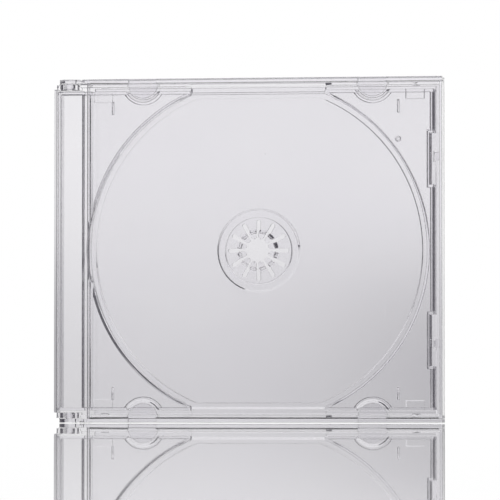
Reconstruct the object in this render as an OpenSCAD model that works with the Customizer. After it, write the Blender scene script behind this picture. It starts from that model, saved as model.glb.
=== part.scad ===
// Hinged clear case for one disc, standing on its long edge with the lid to the front.
// Each piece is drawn lying on its back: x runs from the spine, y up the spine,
// z from the back face to the lid. stand_up() then turns it upright.

/* [Case] */
// Length along the rails, from the spine to the opening edge
case_l = 142; // [140:1:150]
// Width along the spine, which is the standing height
case_w = 125; // [124:1:132]
// Thickness of the closed case
case_t = 10.1; // [10:0.1:12]
// Thickness of the lid's panel and of the base's panel
wall = 1.2; // [1:0.1:1.3]

/* [Lid] */
// Thickness of the lid's side rails
rail_t = 1.4; // [1.2:0.05:1.5]
// Distance from the spine to the hinge axis
pin_in = 5; // [4.8:0.1:5.4]
// Radius of the hinge pins
pin_r = 1.3; // [1:0.1:1.6]
// Length of each hinge pin, from its arm inwards
pin_l = 2.05; // [1.5:0.05:2.2]
// Space between the lid's panel and the tabs that hold the booklet
booklet_gap = 2.1; // [1.8:0.1:2.2]
// Thickness of the half-moon booklet tabs
tab_t = 1; // [0.8:0.1:1.1]
// Radius of the half-moon booklet tabs
tab_r = 5.6; // [4.5:0.1:6]
// Distance between the two booklet tabs of one rail
tab_span = 84; // [78:1:86]
// Pitch of the grip ribs along the rails
rib_pitch = 0.75; // [0.7:0.05:1.5]
// Depth of the grooves between the grip ribs
rib_depth = 0.22; // [0.1:0.02:0.3]

/* [Base] */
// Thickness of the spine walls at both ends
spine_t = 1.1; // [0.9:0.1:1.2]
// Thickness of the low side walls inside the rails
side_t = 1.1; // [0.9:0.1:1.2]
// Height of the side walls above the back face
side_h = 6; // [5:0.1:6.4]
// Thickness of the lugs that carry the hinge pins
lug_t = 2; // [1.8:0.05:2.2]

/* [Disc tray] */
// Distance from the spine to the disc's centre
disc_x = 74.5; // [74:0.1:75.5]
// Radius of the well at the deck
well_r = 61.7; // [61.5:0.1:62]
// Radius at which the well's wall meets the shelf under the disc's rim
shelf_r = 61.4; // [61:0.1:61.5]
// Radius of the well's lower floor
floor_r = 60; // [59:0.1:60.4]
// Thickness of the tray's sheet
tray_t = 1; // [0.8:0.1:1.1]
// Height of the shelf above the well's floor
shelf_h = 0.6; // [0.4:0.1:0.8]
// Width of the raised strip beside the hinge
strip_w = 10; // [9.6:0.1:10.2]
// Half the length of the finger gaps at the well's top and bottom
finger_half = 24.6; // [20:0.2:26]

/* [Hub] */
// Outer radius of the seat that carries the disc
seat_r = 14.9; // [14:0.1:16]
// Inner radius of the seat
seat_in = 12.2; // [11.8:0.1:13]
// Height of the seat above the well's floor
seat_h = 1.1; // [0.9:0.1:1.3]
// Radius of the grip that the disc's hole snaps over
grip_r = 7.6; // [7.4:0.05:7.8]
// Height of the fingers above the seat
finger_h = 2.8; // [2.4:0.1:2.9]
// Number of spring fingers
finger_count = 12; // [8:1:12]
// Width of the slots between the fingers
slot_w = 1.5; // [1.2:0.1:1.7]
// Radius of the open centre between the finger tips
centre_r = 4.15; // [3.8:0.05:4.4]

/* [Fits] */
// Radial clearance of the hinge pins in their lugs
pin_fit = 0.05; // [0.03:0.01:0.1]
// Gap between the lid's rails and the base's side walls
side_gap = 0.25; // [0.2:0.05:0.4]
// Gap between faces that close on each other
close_gap = 0.15; // [0.1:0.05:0.2]
// Gap left all round the tray inside the base
tray_gap = 0.3; // [0.2:0.05:0.35]

/* [Hidden] */
$fn = 96;
eps = 0.01;
over = 1;
clear_lid = [0.90, 0.91, 0.95];
clear_base = [0.82, 0.84, 0.90];
clear_tray = [0.86, 0.86, 0.91];

// Hinge: the axis lies at mid-thickness, so both panels lie flat when the lid is thrown back
mid_y = case_w / 2;
pin_z = case_t / 2;
ear_r = pin_z - wall - side_gap;
rail_x = 2 * pin_in + side_gap;
neck_w = 0.9;
neck_cut = 0.55;
neck_half = 2.6;
pin_nose = 0.3;
hole_r = pin_r + pin_fit;

// Lid
lid_in = case_t - wall;
rail_z = wall + close_gap;
strip_x = spine_t + tray_gap;
strip_end = strip_x + strip_w;
lid_x = strip_end + 1;
lip_t = 0.9;
lip_drop = 0.7;
fillet_r = 0.8;
tab_top = lid_in - booklet_gap;
tab_z = tab_top - tab_t;
tab_clear = 0.4;
window_half = tab_r - 0.45;
tab_xs = [disc_x - tab_span / 2, disc_x + tab_span / 2];
rib_count = floor((case_l - rail_x) / rib_pitch);
bump_xs = [strip_end + 1.3, case_l - 10.1];
bump_r = 0.55;
bump_l = 2;
bump_z = rail_z + 1.25;

// Base
side_y = rail_t + side_gap;
side_in = side_y + side_t;
lug_end = side_y + lug_t;
wall_top = lid_in - close_gap;
corner_x = 1.2;
corner_y = 2.6;
lug_r = 3.4;
lug_x = 9.2;
lug_foot = 3.4;
groove_r = bump_r + 0.35;
dip_slope = 2.5;

// Tray heights, from the card gap behind it up to the booklet
tray_z = wall + tray_gap;
floor_z = tray_z + tray_t;
shelf_z = floor_z + shelf_h;
deck_z = tab_top - 0.2;
strip_z = case_t - 0.2;
tray_y = side_in + tray_gap;
tray_end = case_l - spine_t - tray_gap;
deck_y = lug_end + 0.75;
deck_end = tray_end - 2.2;
side_foot = deck_end + 1;
rim_z = shelf_z - 1.1;
ledge_end = strip_end + 2;
ledge_z = lid_in - 1;
foot_x = strip_end + 2.7;
shoulder = 1;
flat_y = deck_y + 1.15;
flat_in = flat_y + 1.45;
flat_slope = 0.5;
gap_z = tray_z + 0.8;
recess_r = tab_r + 1.3;
recess_foot = tab_r + 0.6;
recess_z = tab_z - tab_clear;
notch_x = deck_end - 1.1;
notch_from = 20.4;
notch_to = 39;
notch_z = shelf_z + 1.2;
notch_slope = 0.5;
latch_at = 27.2;
latch_l = 3;
latch_in = 2.3;
snap_xs = [strip_end + 6.6, case_l - 10];
rib_xs = [strip_end + 9.9, case_l - 16.2];
snap_l = 3;
snap_in = 0.6;
snap_h = 1;
snap_z = shelf_z + 0.3;
pad_depth = 0.35;
pad_half = 3.35;
rib_w = 0.6;
rib_from = deck_y + 3.9;
rib_to = deck_y + 8.4;
mark_r = 1.1;
mark_depth = 0.3;
mark_in = 22.4;

// Hub
seat_z = floor_z + seat_h;
plate_z = seat_z - 0.4;
plate_t = tray_t;
finger_z = seat_z + finger_h;
riser_t = 1;
riser_out = grip_r - 0.3;
grip_z = seat_z + 1.7;
grip_half = 0.5;
cap_t = 0.9;
cap_droop = 0.25;
slot_end = seat_in - 1.1;
finger_step = 360 / finger_count;
tip_r = (centre_r + 1) * sin(finger_step / 2) - 0.38;
tip_slot = 0.5;

module stand_up() {
    translate([-case_l / 2, pin_z, 0])
        rotate([90, 0, 0])
            children();
}

// A feature near y = 0 and its mirror image near y = case_w
module both_edges() {
    children();
    translate([0, case_w, 0])
        mirror([0, 1, 0])
            children();
}

// Extrudes an x-z profile from y0 over the length l
module along_y(y0, l) {
    translate([0, y0 + l, 0])
        rotate([90, 0, 0])
            linear_extrude(l)
                children();
}

module block(from, to) {
    translate(from)
        cube(to - from);
}

module at_disc(z) {
    translate([disc_x, mid_y, z])
        children();
}

// Rail seen from above: its outer edge is a row of V grooves
module rail_outline() {
    grooves = [for (i = [0 : rib_count - 1], s = [0, 1])
        [rail_x + (i + s / 2) * rib_pitch, s * rib_depth]];
    polygon(concat(grooves, [[case_l, 0], [case_l, rail_t], [rail_x, rail_t]]));
}

module lid_rail() {
    difference() {
        translate([0, 0, rail_z])
            linear_extrude(case_t - rail_z)
                rail_outline();
        block([rail_x - over, -over, lid_in], [lid_x, rail_t + over, case_t + over]);
        for (x = tab_xs)
            block([x - window_half, -over, tab_top], [x + window_half, rail_t + over, lid_in]);
    }
}

// Arm that springs out beside the hinge, with a shallow neck where it leaves the rail
module lid_arm() {
    difference() {
        along_y(0, rail_t) {
            translate([pin_in, pin_z])
                circle(ear_r);
            translate([pin_in, pin_z - neck_half])
                square([rail_x + neck_w - pin_in, 2 * neck_half]);
        }
        block([rail_x - neck_w, -over, rail_z], [rail_x, neck_cut, lid_in]);
    }
}

module hinge_pin() {
    translate([pin_in, rail_t - eps, pin_z])
        rotate([-90, 0, 0]) {
            cylinder(r = pin_r, h = pin_l - pin_nose + eps);
            translate([0, 0, pin_l - pin_nose])
                cylinder(r1 = pin_r, r2 = pin_r - pin_nose, h = pin_nose + eps);
        }
}

module booklet_tab(x) {
    intersection() {
        translate([x, rail_t, tab_z])
            cylinder(r = tab_r, h = tab_t);
        block([x - tab_r, rail_t - eps, tab_z], [x + tab_r, rail_t + tab_r, tab_top]);
    }
}

module latch_bump(x) {
    intersection() {
        translate([x, rail_t, bump_z])
            cylinder(r = bump_r, h = bump_l);
        block([x - bump_r, rail_t - eps, bump_z], [x + bump_r, rail_t + bump_r, bump_z + bump_l]);
    }
}

// Round-nosed lip behind the panel's spine-side edge, where the booklet stops
module booklet_stop() {
    along_y(rail_t - eps, case_w - 2 * rail_t + 2 * eps) {
        translate([lid_x, lid_in - lip_drop + lip_t / 2])
            square([lip_t, lip_drop - lip_t / 2 + eps]);
        translate([lid_x + lip_t / 2, lid_in - lip_drop + lip_t / 2])
            circle(lip_t / 2);
    }
}

// Fillet between the panel and the rail, open at the windows over the booklet tabs
module rail_fillet() {
    difference() {
        translate([lid_x, 0, 0])
            rotate([90, 0, 90])
                linear_extrude(tray_end - lid_x)
                    difference() {
                        translate([rail_t - eps, lid_in - fillet_r])
                            square(fillet_r + eps);
                        translate([rail_t + fillet_r, lid_in - fillet_r])
                            circle(fillet_r);
                    }
        for (x = tab_xs)
            block([x - window_half, 0, tab_top], [x + window_half, rail_t + over, lid_in]);
    }
}

module lid() {
    color(clear_lid)
        stand_up() {
            block([lid_x, rail_t - eps, lid_in], [case_l, case_w - rail_t + eps, case_t]);
            booklet_stop();
            both_edges() {
                lid_rail();
                lid_arm();
                hinge_pin();
                rail_fillet();
                for (x = tab_xs)
                    booklet_tab(x);
                for (x = bump_xs)
                    latch_bump(x);
            }
        }
}

// Back panel with its two hinge corners clipped
module back_panel() {
    linear_extrude(wall)
        polygon([
            [corner_x, 0],
            [case_l, 0],
            [case_l, case_w],
            [corner_x, case_w],
            [0, case_w - corner_y],
            [0, corner_y]
        ]);
}

// Low wall inside the rail, lowered along the finger gap so that the disc's rim clears it,
// and under the booklet tabs
module side_wall() {
    difference() {
        block([lug_x - eps, side_y, wall - eps], [case_l - spine_t + eps, side_in, side_h]);
        along_y(side_y - over, side_t + 2 * over)
            polygon([
                [disc_x - finger_half - dip_slope, side_h + eps],
                [disc_x - finger_half, shelf_z],
                [disc_x + finger_half, shelf_z],
                [disc_x + finger_half + dip_slope, side_h + eps]
            ]);
        for (x = tab_xs)
            block([x - tab_r - side_gap, side_y - over, tab_z - tab_clear],
                  [x + tab_r + side_gap, side_in + over, side_h + over]);
        for (x = bump_xs)
            translate([x, rail_t, bump_z - 0.4])
                cylinder(r = groove_r, h = side_h);
    }
}

module hinge_lug() {
    difference() {
        along_y(side_y, lug_t) {
            translate([0, wall - eps])
                square([lug_x, lug_foot - wall + eps]);
            translate([pin_in - lug_r, wall - eps])
                square([2 * lug_r, pin_z - wall + eps]);
            translate([pin_in, pin_z])
                circle(lug_r);
        }
        translate([pin_in, side_y - over, pin_z])
            rotate([-90, 0, 0])
                cylinder(r = hole_r, h = lug_t + 2 * over);
    }
}

// Wedge on the side wall that the tray's flange snaps under
module tray_snap(x) {
    translate([x - snap_l / 2, 0, 0])
        rotate([90, 0, 90])
            linear_extrude(snap_l)
                polygon([
                    [side_in - eps, snap_z],
                    [side_in + snap_in, snap_z],
                    [side_in - eps, snap_z + snap_h]
                ]);
}

module tray_latch() {
    block([tray_end + tray_gap - latch_in, latch_at, snap_z],
          [tray_end + tray_gap + eps, latch_at + latch_l, snap_z + snap_h]);
}

module base() {
    color(clear_base)
        stand_up() {
            back_panel();
            block([0, lug_end, 0], [spine_t, case_w - lug_end, wall_top]);
            block([case_l - spine_t, side_y, 0], [case_l, case_w - side_y, wall_top]);
            both_edges() {
                side_wall();
                hinge_lug();
                block([0, lug_end - eps, 0], [lug_x, lug_end, lug_foot]);
                for (x = snap_xs)
                    tray_snap(x);
                tray_latch();
            }
        }
}

// Section of the raised strip, with a round shoulder beside the spine wall
module strip_section(inset) {
    left = strip_x + inset;
    top = strip_z - inset;
    round_r = shoulder - inset * 0.4;
    polygon([
        [left, tray_z - inset],
        [left, top - round_r],
        [left + round_r, top - round_r],
        [left + round_r, top],
        [strip_end - inset, top],
        [strip_end - inset, ledge_z - inset],
        [ledge_end - inset * 0.6, ledge_z - inset],
        [foot_x - inset * 0.6, deck_z - inset],
        [foot_x + eps, tray_z - inset]
    ]);
    intersection() {
        translate([left + round_r, top - round_r])
            circle(round_r);
        translate([left, top - round_r])
            square(round_r);
    }
}

module deck(inset, top) {
    block([foot_x - tray_t, deck_y + inset, tray_z - inset],
          [deck_end - inset, case_w - deck_y - inset, top]);
}

module tray_outside() {
    along_y(deck_y, case_w - 2 * deck_y)
        strip_section(0);
    deck(0, deck_z);
    along_y(deck_y, case_w - 2 * deck_y)
        polygon([
            [deck_end - eps, tray_z],
            [deck_end - eps, deck_z],
            [deck_end, deck_z],
            [side_foot, shelf_z],
            [side_foot, tray_z]
        ]);
    along_y(tray_y, case_w - 2 * tray_y)
        polygon([
            [foot_x - eps, tray_z],
            [foot_x - eps, shelf_z],
            [side_foot, shelf_z],
            [tray_end, rim_z],
            [tray_end, tray_z]
        ]);
}

// Tapered wall of the well, carried straight up through the strip's foot
module well() {
    at_disc(shelf_z)
        rotate_extrude()
            polygon([
                [0, 0],
                [shelf_r, 0],
                [well_r, deck_z - shelf_z],
                [well_r, case_t],
                [0, case_t]
            ]);
}

module well_floor() {
    intersection() {
        at_disc(floor_z)
            cylinder(r = floor_r, h = case_t);
        block([0, flat_in, floor_z], [case_l, case_w - flat_in, case_t]);
    }
}

// Opening at the well's edge where a finger lifts the disc
module finger_gap() {
    block([disc_x - finger_half, 0, shelf_z], [disc_x + finger_half, mid_y, case_t]);
    translate([disc_x - finger_half, 0, 0])
        rotate([90, 0, 90])
            linear_extrude(2 * finger_half)
                polygon([
                    [0, gap_z],
                    [flat_y - flat_slope, gap_z],
                    [flat_y, shelf_z + eps],
                    [0, shelf_z + eps]
                ]);
}

module tab_recess(x) {
    translate([x, rail_t, recess_z])
        cylinder(r1 = recess_foot, r2 = recess_r, h = deck_z - recess_z + eps);
}

// Deeper slope in the tray's opening edge
module edge_notch() {
    along_y(notch_from, notch_to - notch_from)
        polygon([
            [notch_x, case_t],
            [notch_x, deck_z],
            [notch_x + notch_slope, notch_z],
            [side_foot - 0.2, shelf_z],
            [tray_end + over, shelf_z],
            [tray_end + over, case_t]
        ]);
}

// Gap in the tray's opening edge where a latch of the base passes
module latch_gap() {
    block([deck_end, latch_at - tray_gap, shelf_z],
          [tray_end + over, latch_at + latch_l + tray_gap, case_t]);
}

// Shallow pads pressed into the deck at its corners
module corner_pads() {
    block([foot_x + 0.3, deck_y + 0.8, deck_z - pad_depth],
          [foot_x + 7.2, deck_y + 4, deck_z + over]);
    block([snap_xs[1] - pad_half, -over, deck_z - pad_depth],
          [snap_xs[1] + pad_half, deck_y + 3.6, deck_z + over]);
}

// Space behind the deck and the strip, leaving one thickness of sheet everywhere
module tray_hollow() {
    difference() {
        union() {
            along_y(deck_y + tray_t, case_w - 2 * (deck_y + tray_t))
                strip_section(tray_t);
            deck(tray_t, deck_z - tray_t);
        }
        at_disc(0)
            rotate_extrude()
                polygon([
                    [0, 0],
                    [shelf_r + tray_t, 0],
                    [shelf_r + tray_t, shelf_z],
                    [well_r + tray_t, deck_z],
                    [well_r + tray_t, case_t],
                    [0, case_t]
                ]);
        block([disc_x - finger_half - tray_t, 0, 0],
              [disc_x + finger_half + tray_t, case_w, case_t]);
        both_edges() {
            for (x = tab_xs)
                translate([x, rail_t, recess_z - tray_t])
                    cylinder(r = recess_r + tray_t, h = case_t);
            block([notch_x - tray_t, notch_from - tray_t, 0], [case_l, notch_to + tray_t, case_t]);
            for (x = rib_xs)
                block([x - rib_w / 2, rib_from, deck_z - 2 * tray_t],
                      [x + rib_w / 2, rib_to, deck_z]);
        }
    }
}

// Ring of spring fingers: plate, riser and grip in one revolved section
module finger_ring() {
    at_disc(0)
        rotate_extrude()
            polygon([
                [riser_out - riser_t, plate_z - plate_t],
                [seat_in, plate_z - plate_t],
                [seat_in, tray_z],
                [seat_r - 1, tray_z],
                [seat_r, tray_z],
                [seat_r, seat_z],
                [seat_in, seat_z],
                [seat_in, plate_z],
                [riser_out, plate_z],
                [riser_out, grip_z - grip_half],
                [grip_r, grip_z],
                [riser_out - 0.2, finger_z - 0.3],
                [riser_out - 0.5, finger_z],
                [riser_out - riser_t, finger_z]
            ]);
}

// Slot with a round outer end
module finger_slot() {
    hull_end = slot_end - slot_w / 2;
    translate([riser_out - riser_t - 0.7, -slot_w / 2])
        square([hull_end - riser_out + riser_t + 0.7, slot_w]);
    translate([hull_end, 0])
        circle(slot_w / 2);
}

// Round-nosed plan of one finger's cap
module finger_tip() {
    root = riser_out - riser_t + 0.3;
    root_half = root * tan(finger_step / 2) - tip_slot;
    translate([centre_r + tip_r, 0])
        circle(tip_r);
    polygon([
        [centre_r + tip_r, -tip_r],
        [root, -root_half],
        [root, root_half],
        [centre_r + tip_r, tip_r]
    ]);
}

module finger_caps() {
    intersection() {
        at_disc(0)
            rotate_extrude()
                polygon([
                    [centre_r - over, finger_z - cap_t - cap_droop],
                    [riser_out - riser_t + 0.3, finger_z - cap_t],
                    [riser_out - riser_t + 0.3, finger_z],
                    [centre_r - over, finger_z - cap_droop]
                ]);
        at_disc(0)
            linear_extrude(case_t)
                for (i = [0 : finger_count - 1])
                    rotate((i + 0.5) * finger_step)
                        finger_tip();
    }
}

module hub() {
    difference() {
        finger_ring();
        at_disc(0)
            linear_extrude(case_t)
                for (i = [0 : finger_count - 1])
                    rotate(i * finger_step)
                        finger_slot();
    }
    finger_caps();
}

module disc_tray() {
    color(clear_tray)
        stand_up() {
            difference() {
                tray_outside();
                well();
                well_floor();
                both_edges() {
                    finger_gap();
                    for (x = tab_xs)
                        tab_recess(x);
                    edge_notch();
                    latch_gap();
                    corner_pads();
                }
                tray_hollow();
                translate([rib_xs[1], case_w - mark_in, deck_z - mark_depth])
                    cylinder(r = mark_r, h = over);
                at_disc(tray_z - over)
                    cylinder(r = seat_r - eps, h = case_t);
            }
            hub();
        }
}

lid();
base();
disc_tray();
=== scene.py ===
import math

import bmesh
import bpy
import numpy as np
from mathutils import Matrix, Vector


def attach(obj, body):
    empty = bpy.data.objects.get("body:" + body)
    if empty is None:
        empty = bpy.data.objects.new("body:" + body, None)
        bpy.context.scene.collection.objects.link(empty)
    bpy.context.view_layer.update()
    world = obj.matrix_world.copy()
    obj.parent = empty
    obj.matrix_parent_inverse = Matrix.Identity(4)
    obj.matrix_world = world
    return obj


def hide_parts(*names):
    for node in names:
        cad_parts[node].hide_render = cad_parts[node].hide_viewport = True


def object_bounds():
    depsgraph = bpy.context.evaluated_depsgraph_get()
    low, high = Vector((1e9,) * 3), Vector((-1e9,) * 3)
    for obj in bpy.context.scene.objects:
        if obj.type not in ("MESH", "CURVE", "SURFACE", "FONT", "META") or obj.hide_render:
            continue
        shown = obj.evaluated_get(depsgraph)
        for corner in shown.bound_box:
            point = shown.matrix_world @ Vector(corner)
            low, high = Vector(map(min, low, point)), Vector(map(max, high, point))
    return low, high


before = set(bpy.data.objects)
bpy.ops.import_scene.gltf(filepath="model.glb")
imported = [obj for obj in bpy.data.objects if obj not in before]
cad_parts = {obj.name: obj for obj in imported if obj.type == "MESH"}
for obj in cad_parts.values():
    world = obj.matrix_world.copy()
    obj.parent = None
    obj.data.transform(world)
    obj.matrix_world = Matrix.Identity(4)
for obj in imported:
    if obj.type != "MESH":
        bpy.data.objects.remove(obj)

cad_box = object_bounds()

BODY_OF = {"lid": "lid", "base": "base", "disc_tray": "base"}

# Camera: level with the case's foot, 8 degrees towards its opening edge
CAMERA_YAW = math.radians(8.0)
CAMERA_DISTANCE = 1.6
CAMERA_HEIGHT = 0.009
AIM_X = -0.00035
PITCH = math.radians(1.92)
PICTURE = 500
SENSOR = 36
FOCAL_PIXELS = 4410

# Screen behind the case: how far it reaches to each side and up, as slopes
SCREEN_RIGHT = 0.23
SCREEN_LEFT = 4.0
SCREEN_TOP = 1.1
# Its level, from the foot up, and how much it loses at the lower right
SCREEN_RISE = (-0.01, 0.06)
SCREEN_FOOT = 0.74
SCREEN_BOTTOM = (-0.03, -0.01)
CORNER_X = (-0.15, -0.075)
CORNER_Z = (0.012, 0.045)
CORNER_LOSS = 0.33
FRONT_LEVEL = 0.5
SIDE_LEVEL = 0.5
DUSK = (0.03, 0.025, 0.042)
WHITE = (1, 1, 1)

# Floor: a glossy white sheet, its reach to the sides, to the front and to the back
FLOOR_REACH = (1.5, 1.5, 0.7)
FLOOR_DROP = 0.0002

# Moulded edges: usual round, fine round beside the hinge, and rings of the tray
SHARP = math.radians(28)
FLAT = math.radians(0.3)
MERGE = 2e-7
ROUND = 0.00022
FINE_ROUND = 0.00012
FINGER_ROUND = 0.00015
LARGEST_ROUND = 0.0005
HINGE_REACH = 0.0125
HINGE_DEPTH = 0.009
NEAR = 0.00006
HUB_X = 0.0035
FINGER_PLATE = (0.0022, 0.0032)
FINGER_REACH = 0.0119

# Each ring of the tray about the hub's axis: radius, height above the back face, and the round there
TRAY_ROUNDS = (
    (0.0624, 0.0015, 0.0004),
    (0.0600, 0.0031, 0.0001),
    (0.0600, 0.0025, 0.0001),
    (0.0149, 0.0036, 0.0001),
    (0.0149, 0.0025, 0.0001),
)
# Mould draft of the same tray: radius and height of a ring, and the radius that it is drawn to
TRAY_DRAFTS = (
    (0.0600, 0.0025, 0.0597),
    (0.0614, 0.0031, 0.0617),
    (0.0149, 0.0036, 0.0146),
    (0.0149, 0.0025, 0.0152),
)
# The ejector mark, a shallow dent in the deck: middle, height of its floor, radius, and radius drawn to
MARK = (0.0548, 0.1026, 0.0063)
MARK_DRAFT = (0.0011, 0.0009)
# Straight edges of the tray drawn the same way: x, height, and the x that they are drawn to
STRIP_DRAFTS = ((-0.0606, 0.0069, -0.0603), (-0.0606, 0.0089, -0.0605))
# Straight edges with a large round: x from the case's middle, height above the back face, and the round
LID_ROUNDS = ((-0.0586, 0.0101, 0.00045),)
BASE_ROUNDS = ((0.0699, 0.00875, 0.00045),)

IOR_POLYSTYRENE = 1.59
CLEAR_VOLUME = (0.8, 0.78, 0.86)
VOLUME_DENSITY = 20


def link(tree, value, socket):
    """Sets a socket to a number or colour, or links an output to it."""
    if isinstance(value, bpy.types.NodeSocket):
        tree.links.new(value, socket)
    else:
        socket.default_value = value


def math_node(tree, operation, a, b=0.0, clamp=False):
    """One Math node on a and b."""
    node = tree.nodes.new("ShaderNodeMath")
    node.operation = operation
    node.use_clamp = clamp
    link(tree, a, node.inputs[0])
    link(tree, b, node.inputs[1])
    return node.outputs["Value"]


def ramp(tree, value, low, high, smooth=True):
    """0 below low, 1 above high."""
    node = tree.nodes.new("ShaderNodeMapRange")
    node.interpolation_type = "SMOOTHSTEP" if smooth else "LINEAR"
    node.inputs["From Min"].default_value = low
    node.inputs["From Max"].default_value = high
    tree.links.new(value, node.inputs["Value"])
    return node.outputs["Result"]


def blend_colours(tree, factor, first, second, mode="MIX"):
    """Mix node between two colours."""
    node = tree.nodes.new("ShaderNodeMix")
    node.data_type = "RGBA"
    node.blend_type = mode
    node.clamp_factor = True
    link(tree, factor, node.inputs["Factor"])
    ends = [socket for socket in node.inputs if socket.type == "RGBA"]
    link(tree, first, ends[0])
    link(tree, second, ends[1])
    return [socket for socket in node.outputs if socket.type == "RGBA"][0]


def noise(tree, vector, scale, detail=2.0, distortion=0.0):
    """Noise texture value on a vector."""
    node = tree.nodes.new("ShaderNodeTexNoise")
    node.inputs["Detail"].default_value = detail
    node.inputs["Distortion"].default_value = distortion
    link(tree, scale, node.inputs["Scale"])
    tree.links.new(vector, node.inputs["Vector"])
    return node.outputs["Fac"]


def stretched(tree, vector, turn, scale):
    """The vector turned about the case's depth and scaled."""
    node = tree.nodes.new("ShaderNodeMapping")
    node.inputs["Rotation"].default_value = (0, turn, 0)
    node.inputs["Scale"].default_value = scale
    tree.links.new(vector, node.inputs["Vector"])
    return node.outputs["Vector"]


def new_group(name, inputs, outputs):
    """A shader node group with named sockets; returns it and its inner sockets by name."""
    group = bpy.data.node_groups.new(name, "ShaderNodeTree")
    for socket_name, kind, value in inputs:
        socket = group.interface.new_socket(socket_name, in_out="INPUT", socket_type=kind)
        if value is not None:
            socket.default_value = value
    for socket_name, kind in outputs:
        group.interface.new_socket(socket_name, in_out="OUTPUT", socket_type=kind)
    start = group.nodes.new("NodeGroupInput")
    end = group.nodes.new("NodeGroupOutput")
    return group, start.outputs, end.inputs


def mould_flow_group():
    """Slow ripple that the melt leaves in a moulded panel, finest along its flow, and a faint tint."""
    group, given, result = new_group(
        "mould_flow",
        [("Vector", "NodeSocketVector", None), ("Scale", "NodeSocketFloat", 40.0),
         ("Colour", "NodeSocketColor", (1, 1, 1, 1)), ("Shade", "NodeSocketColor", (1, 1, 1, 1))],
        [("Height", "NodeSocketFloat"), ("Colour", "NodeSocketColor")],
    )
    along = stretched(group, given["Vector"], 0.2, (0.6, 1.0, 1.5))
    slow = noise(group, along, given["Scale"], 1.0, 0.6)
    fine = noise(group, along, math_node(group, "MULTIPLY", given["Scale"], 4.0), 2.0, 0.3)
    total = math_node(group, "ADD", slow, math_node(group, "MULTIPLY", fine, 0.12))
    group.links.new(total, result["Height"])
    tint = blend_colours(group, ramp(group, slow, 0.3, 0.7), given["Colour"], given["Shade"])
    group.links.new(tint, result["Colour"])
    return group


def hairline_group():
    """Fine scratches in two directions: thin lines where a stretched noise crosses its middle,
    kept only in scattered patches."""
    group, given, result = new_group(
        "hairline_scratches",
        [("Vector", "NodeSocketVector", None), ("Amount", "NodeSocketFloat", 0.3)],
        [("Mask", "NodeSocketFloat")],
    )
    lines = None
    for turn in (0.6, 2.3):
        long = stretched(group, given["Vector"], turn, (1.0, 1.0, 0.03))
        wave = noise(group, long, 260.0, 0.0, 0.1)
        off = math_node(group, "ABSOLUTE", math_node(group, "SUBTRACT", wave, 0.5))
        thin = math_node(group, "SUBTRACT", 1.0, ramp(group, off, 0.0005, 0.003))
        patch = ramp(group, noise(group, stretched(group, given["Vector"], turn, (1.0, 1.0, 0.4)), 70.0),
                     0.62, 0.68)
        line = math_node(group, "MULTIPLY", thin, patch)
        lines = line if lines is None else math_node(group, "MAXIMUM", lines, line)
    group.links.new(math_node(group, "MULTIPLY", lines, given["Amount"]), result["Mask"])
    return group


def dust_group():
    """Specks of dust: the cores of a few random cells of a Voronoi texture."""
    group, given, result = new_group(
        "dust_specks",
        [("Vector", "NodeSocketVector", None), ("Scale", "NodeSocketFloat", 150.0),
         ("Share", "NodeSocketFloat", 0.02)],
        [("Mask", "NodeSocketFloat")],
    )
    cells = group.nodes.new("ShaderNodeTexVoronoi")
    group.links.new(given["Vector"], cells.inputs["Vector"])
    group.links.new(given["Scale"], cells.inputs["Scale"])
    pick = group.nodes.new("ShaderNodeSeparateColor")
    group.links.new(cells.outputs["Color"], pick.inputs["Color"])
    chosen = math_node(group, "LESS_THAN", pick.outputs["Red"], given["Share"])
    core = math_node(group, "SUBTRACT", 1.0, ramp(group, cells.outputs["Distance"], 0.02, 0.045))
    group.links.new(math_node(group, "MULTIPLY", chosen, core), result["Mask"])
    return group


def pin_mark_group():
    """Round matt mark that an ejector pin leaves: a soft ring, fainter inside."""
    group, given, result = new_group(
        "pin_mark",
        [("Vector", "NodeSocketVector", None), ("Middle", "NodeSocketVector", (0, 0, 0)),
         ("Radius", "NodeSocketFloat", 0.001)],
        [("Mask", "NodeSocketFloat")],
    )
    away = group.nodes.new("ShaderNodeVectorMath")
    away.operation = "SUBTRACT"
    group.links.new(given["Vector"], away.inputs[0])
    group.links.new(given["Middle"], away.inputs[1])
    level = group.nodes.new("ShaderNodeVectorMath")
    level.operation = "MULTIPLY"
    group.links.new(away.outputs["Vector"], level.inputs[0])
    level.inputs[1].default_value = (1, 0, 1)
    reach = group.nodes.new("ShaderNodeVectorMath")
    reach.operation = "LENGTH"
    group.links.new(level.outputs["Vector"], reach.inputs[0])
    share = math_node(group, "DIVIDE", reach.outputs["Value"], given["Radius"])
    disc = math_node(group, "SUBTRACT", 1.0, ramp(group, share, 0.85, 1.05))
    inner = math_node(group, "SUBTRACT", 1.0, ramp(group, share, 0.3, 0.6))
    ring = math_node(group, "SUBTRACT", disc, math_node(group, "MULTIPLY", inner, 0.6))
    group.links.new(ring, result["Mask"])
    return group


def place_group(tree, group, **values):
    """A group node in a material, its inputs set or linked by name."""
    node = tree.nodes.new("ShaderNodeGroup")
    node.node_tree = group
    for socket_name, value in values.items():
        link(tree, value, node.inputs[socket_name])
    return node.outputs


def new_material(name):
    """An empty node material and its tree."""
    material = bpy.data.materials.new(name)
    material.use_nodes = True
    material.node_tree.nodes.clear()
    return material, material.node_tree


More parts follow.
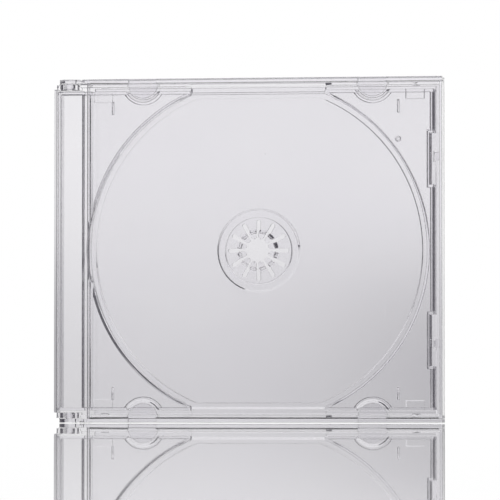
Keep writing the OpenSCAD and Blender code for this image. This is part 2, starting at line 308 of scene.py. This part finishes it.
def clear_polystyrene(name, groups, colour, shade, flow_scale, flow_height, scratches, dust):
    """Polished clear moulding: refracting body with slight absorption; the flow ripple bends what
    is seen through it, and scratches and dust are matt."""
    material, tree = new_material(name)
    out = tree.nodes.new("ShaderNodeOutputMaterial")
    shader = tree.nodes.new("ShaderNodeBsdfPrincipled")
    place = tree.nodes.new("ShaderNodeTexCoord").outputs["Object"]
    flow = place_group(tree, groups["flow"], Vector=place, Scale=flow_scale,
                       Colour=(*colour, 1), Shade=(*shade, 1))
    hairs = place_group(tree, groups["hairs"], Vector=place, Amount=scratches)
    specks = place_group(tree, groups["dust"], Vector=place, Share=dust)
    matt = math_node(tree, "MAXIMUM", hairs["Mask"], specks["Mask"], clamp=True)
    if name == "clear_tray":
        pin = place_group(tree, groups["pin"], Vector=place, Middle=(MARK[0], 0, MARK[1]),
                          Radius=MARK_DRAFT[0])
        matt = math_node(tree, "MAXIMUM", matt, pin["Mask"], clamp=True)
    link(tree, math_node(tree, "MULTIPLY", matt, 0.35), shader.inputs["Roughness"])
    dusty = blend_colours(tree, math_node(tree, "MULTIPLY", specks["Mask"], 0.6), flow["Colour"],
                          (0.55, 0.54, 0.56, 1))
    link(tree, dusty, shader.inputs["Base Color"])
    ripple = tree.nodes.new("ShaderNodeBump")
    ripple.inputs["Strength"].default_value = 1.0
    ripple.inputs["Distance"].default_value = flow_height
    link(tree, flow["Height"], ripple.inputs["Height"])
    link(tree, ripple.outputs["Normal"], shader.inputs["Normal"])
    shader.inputs["IOR"].default_value = IOR_POLYSTYRENE
    shader.inputs["Transmission Weight"].default_value = 1.0
    tree.links.new(shader.outputs["BSDF"], out.inputs["Surface"])
    volume = tree.nodes.new("ShaderNodeVolumeAbsorption")
    volume.inputs["Color"].default_value = (*CLEAR_VOLUME, 1)
    volume.inputs["Density"].default_value = VOLUME_DENSITY
    tree.links.new(volume.outputs["Volume"], out.inputs["Volume"])
    return material


def make_camera():
    """Long lens level with the case's foot, looking slightly up."""
    data = bpy.data.cameras.new("camera")
    data.sensor_width = SENSOR
    data.lens = FOCAL_PIXELS * SENSOR / PICTURE
    data.clip_start = 0.05
    data.clip_end = 50
    camera = bpy.data.objects.new("camera", data)
    bpy.context.scene.collection.objects.link(camera)
    heading = CAMERA_YAW + AIM_X
    camera.location = (
        CAMERA_DISTANCE * math.sin(CAMERA_YAW),
        -CAMERA_DISTANCE * math.cos(CAMERA_YAW),
        CAMERA_HEIGHT,
    )
    look = Vector((
        -math.sin(heading) * math.cos(PITCH),
        math.cos(heading) * math.cos(PITCH),
        math.sin(PITCH),
    ))
    camera.rotation_mode = "QUATERNION"
    camera.rotation_quaternion = look.to_track_quat("-Z", "Y")
    bpy.context.scene.camera = camera


def make_world():
    """White to the eye and to dull surfaces; seen through the case or mirrored in it, a pale
    screen behind that reaches far to the left and ends soon on the right, a dimmer one in
    front, and violet dusk elsewhere."""
    world = bpy.data.worlds.new("studio")
    bpy.context.scene.world = world
    world.use_nodes = True
    world.cycles.sampling_method = "NONE"
    tree = world.node_tree
    tree.nodes.clear()
    out = tree.nodes.new("ShaderNodeOutputWorld")
    shader = tree.nodes.new("ShaderNodeBackground")
    tree.links.new(shader.outputs["Background"], out.inputs["Surface"])
    place = tree.nodes.new("ShaderNodeTexCoord")
    split = tree.nodes.new("ShaderNodeSeparateXYZ")
    tree.links.new(place.outputs["Generated"], split.inputs["Vector"])
    x, y, z = (split.outputs[axis] for axis in "XYZ")

    def product(*values):
        result = values[0]
        for value in values[1:]:
            result = math_node(tree, "MULTIPLY", result, value)
        return result

    def total(a, b):
        return math_node(tree, "ADD", a, b)

    def rest(value):
        return math_node(tree, "SUBTRACT", 1.0, value)

    right = ramp(tree, math_node(tree, "SUBTRACT", product(y, SCREEN_RIGHT), x), 0.0, 0.06)
    left = ramp(tree, total(product(y, SCREEN_LEFT), x), 0.0, 0.5)
    low = ramp(tree, product(z, -1.0), -SCREEN_TOP, -0.8 * SCREEN_TOP)
    over = ramp(tree, z, *SCREEN_BOTTOM)
    rise = total(product(ramp(tree, z, *SCREEN_RISE), 1 - SCREEN_FOOT), SCREEN_FOOT)
    corner = product(ramp(tree, x, *CORNER_X), rest(ramp(tree, z, *CORNER_Z)), CORNER_LOSS)
    back = product(right, left, low, over, rise, rest(corner))
    front = ramp(tree, product(y, -1.0), 0.80, 0.90)
    side = ramp(tree, math_node(tree, "ABSOLUTE", x), 0.96, 0.985)
    level = total(back, total(product(front, FRONT_LEVEL), product(side, SIDE_LEVEL)))
    light = tree.nodes.new("ShaderNodeLightPath")
    first = math_node(tree, "LESS_THAN", light.outputs["Ray Depth"], 2.5)
    off_floor = product(light.outputs["Is Glossy Ray"], first, ramp(tree, y, -0.6, -0.25))
    plain = math_node(tree, "MAXIMUM", light.outputs["Is Camera Ray"], light.outputs["Is Diffuse Ray"])
    lit = math_node(tree, "MAXIMUM", level, math_node(tree, "MAXIMUM", plain, off_floor))
    link(tree, blend_colours(tree, lit, (*DUSK, 1), (*WHITE, 1)), shader.inputs["Color"])


def make_floor():
    """A glossy white sheet that ends not far behind the case."""
    mesh = bpy.data.meshes.new("floor")
    x, front, back = FLOOR_REACH
    corners = [(-x, -front, 0), (x, -front, 0), (x, back, 0), (-x, back, 0)]
    mesh.from_pydata([(a, b, -FLOOR_DROP) for a, b, _ in corners], [], [(0, 1, 2, 3)])
    floor = bpy.data.objects.new("floor", mesh)
    bpy.context.scene.collection.objects.link(floor)
    material, tree = new_material("floor_glossy_white")
    out = tree.nodes.new("ShaderNodeOutputMaterial")
    diffuse = tree.nodes.new("ShaderNodeBsdfDiffuse")
    diffuse.inputs["Color"].default_value = (0.95, 0.95, 0.95, 1)
    gloss = tree.nodes.new("ShaderNodeBsdfGlossy")
    gloss.inputs["Color"].default_value = (*WHITE, 1)
    gloss.inputs["Roughness"].default_value = 0.01
    fresnel = tree.nodes.new("ShaderNodeFresnel")
    fresnel.inputs["IOR"].default_value = 1.5
    mix = tree.nodes.new("ShaderNodeMixShader")
    tree.links.new(fresnel.outputs["Fac"], mix.inputs["Fac"])
    tree.links.new(diffuse.outputs["BSDF"], mix.inputs[1])
    tree.links.new(gloss.outputs["BSDF"], mix.inputs[2])
    tree.links.new(mix.outputs["Shader"], out.inputs["Surface"])
    mesh.materials.append(material)


def face_room(face):
    """For each edge of a flat face, its distance to the nearest edge that it doesn't touch."""
    near = np.array([v.co for v in face.verts])
    count = len(near)
    far = np.roll(near, -1, axis=0)
    line = far - near
    share = ((near[:, None] - near[None]) * line[None]).sum(2) / np.maximum((line * line).sum(1), 1e-18)
    foot = near[None] + np.clip(share, 0, 1)[..., None] * line[None]
    to_line = np.linalg.norm(near[:, None] - foot, axis=2)
    between = np.minimum(to_line, np.roll(to_line, -1, axis=0))
    between = np.minimum(between, between.T)
    step = np.abs(np.arange(count)[:, None] - np.arange(count)[None])
    between[(step < 2) | (step == count - 1)] = 1.0
    return between.min(1)


def corner_room(edge):
    """How far a round may reach along the edges that meet this one at a corner."""
    room = 1.0
    for vert in edge.verts:
        away = (edge.other_vert(vert).co - vert.co).normalized()
        for other in vert.link_edges:
            line = other.other_vert(vert).co - vert.co
            if other is not edge and line.dot(away) > -0.94 * line.length:
                room = min(room, line.cross(away).length)
    return room


def ring_of(point):
    """Radius about the hub's axis and height above the case's back face."""
    middle = (cad_box[0][2] + cad_box[1][2]) / 2
    return math.hypot(point.x - HUB_X, point.z - middle), cad_box[1][1] - point.y


def on_ring(point, radius, height):
    """Whether a point lies on a ring about the hub's axis."""
    at_radius, at_height = ring_of(point)
    return abs(at_radius - radius) < NEAR and abs(at_height - height) < NEAR


def on_line(point, x, height):
    """Whether a point lies on a line up the spine at this x and height above the back face."""
    return abs(point.x - x) < NEAR and abs(cad_box[1][1] - point.y - height) < NEAR


def draw_drafts(solid):
    """Moves the tray's rings and lines to their drafted places, in the plane that they lie in."""
    middle = (cad_box[0][2] + cad_box[1][2]) / 2
    for radius, height, drawn in TRAY_DRAFTS:
        for vert in [v for v in solid.verts if on_ring(v.co, radius, height)]:
            vert.co.x = HUB_X + (vert.co.x - HUB_X) * drawn / radius
            vert.co.z = middle + (vert.co.z - middle) * drawn / radius
    for x, height, drawn in STRIP_DRAFTS:
        for vert in [v for v in solid.verts if on_line(v.co, x, height)]:
            vert.co.x = drawn
    x, z, height = MARK
    radius, drawn = MARK_DRAFT
    for vert in solid.verts:
        reach = math.hypot(vert.co.x - x, vert.co.z - z)
        if reach < radius + NEAR and abs(cad_box[1][1] - vert.co.y - height) < NEAR:
            vert.co.x = x + (vert.co.x - x) * drawn / radius
            vert.co.z = z + (vert.co.z - z) * drawn / radius


def wanted_round(node_name, edge):
    """Size of the round on an edge: fine beside the hinge, by ring on the tray, usual elsewhere."""
    if node_name == "disc_tray":
        drawn = {(radius, height): end for radius, height, end in TRAY_DRAFTS}
        for radius, height, size in TRAY_ROUNDS:
            at = drawn.get((radius, height), radius)
            if all(on_ring(vert.co, at, height) for vert in edge.verts):
                return size
        low, high = FINGER_PLATE
        for face_height in (low, high):
            at = [ring_of(vert.co) for vert in edge.verts]
            if all(radius < FINGER_REACH and abs(height - face_height) < NEAR for radius, height in at):
                return FINGER_ROUND
        return ROUND
    for x, height, size in LID_ROUNDS if node_name == "lid" else BASE_ROUNDS:
        if all(on_line(vert.co, x, height) for vert in edge.verts):
            return size
    low, high = cad_box
    by_hinge = all(
        vert.co.x < low[0] + HINGE_REACH and min(vert.co.z - low[2], high[2] - vert.co.z) < HINGE_DEPTH
        for vert in edge.verts
    )
    return FINE_ROUND if by_hinge else ROUND


def rounded_copy(node_name, material):
    """The CAD node's shape, merged, with its moulded edges rounded."""
    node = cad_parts[node_name]
    piece_name = "clear_" + node_name
    mesh = node.data.copy()
    mesh.name = piece_name
    solid = bmesh.new()
    solid.from_mesh(mesh)
    bmesh.ops.remove_doubles(solid, verts=solid.verts, dist=MERGE)
    bmesh.ops.dissolve_limit(solid, angle_limit=FLAT, verts=solid.verts, edges=solid.edges)
    if node_name == "disc_tray":
        draw_drafts(solid)
        solid.normal_update()
    weights = solid.edges.layers.float.new("bevel_weight_edge")
    solid.edges.index_update()
    room = np.ones(len(solid.edges))
    for face in solid.faces:
        at = [loop.edge.index for loop in face.loops]
        room[at] = np.minimum(room[at], face_room(face))
    for edge in solid.edges:
        edge.smooth = edge.calc_face_angle() < SHARP
        if not edge.smooth:
            size = wanted_round(node_name, edge)
            free = min(size, 0.45 * min(room[edge.index], corner_room(edge)))
            edge[weights] = free / LARGEST_ROUND if free > 0.2 * size else 0.0
    for face in solid.faces:
        face.smooth = True
    solid.to_mesh(mesh)
    solid.free()
    mesh.materials.clear()
    mesh.materials.append(material)
    piece = bpy.data.objects.new(piece_name, mesh)
    bpy.context.scene.collection.objects.link(piece)
    bevel = piece.modifiers.new("rounded_edges", "BEVEL")
    bevel.limit_method = "WEIGHT"
    bevel.width = LARGEST_ROUND
    bevel.segments = 3
    bevel.use_clamp_overlap = False
    bevel.miter_outer = "MITER_SHARP"
    even = piece.modifiers.new("flat_faces_stay_flat", "WEIGHTED_NORMAL")
    even.mode = "FACE_AREA"
    even.weight = 100
    even.keep_sharp = True
    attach(piece, BODY_OF[node_name])
    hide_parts(node_name)
    return piece


def make_materials():
    """One clear polystyrene for each moulding, from the same three effects."""
    groups = {
        "flow": mould_flow_group(),
        "hairs": hairline_group(),
        "dust": dust_group(),
        "pin": pin_mark_group(),
    }
    return {
        "lid": clear_polystyrene("clear_lid", groups, (0.964, 0.96, 0.97), (0.956, 0.951, 0.964),
                                 22.0, 6e-6, 0.5, 0.012),
        "base": clear_polystyrene("clear_base", groups, (0.962, 0.957, 0.968), (0.955, 0.95, 0.962),
                                  18.0, 8e-6, 0.4, 0.008),
        "disc_tray": clear_polystyrene("clear_tray", groups, (0.96, 0.955, 0.966), (0.95, 0.945, 0.96),
                                       26.0, 1e-5, 0.25, 0.006),
    }


make_camera()
make_world()
make_floor()
for name, material in make_materials().items():
    rounded_copy(name, material)

scene = bpy.context.scene
scene.view_settings.view_transform = "Standard"
scene.cycles.max_bounces = 24
scene.cycles.transmission_bounces = 24
scene.cycles.glossy_bounces = 24
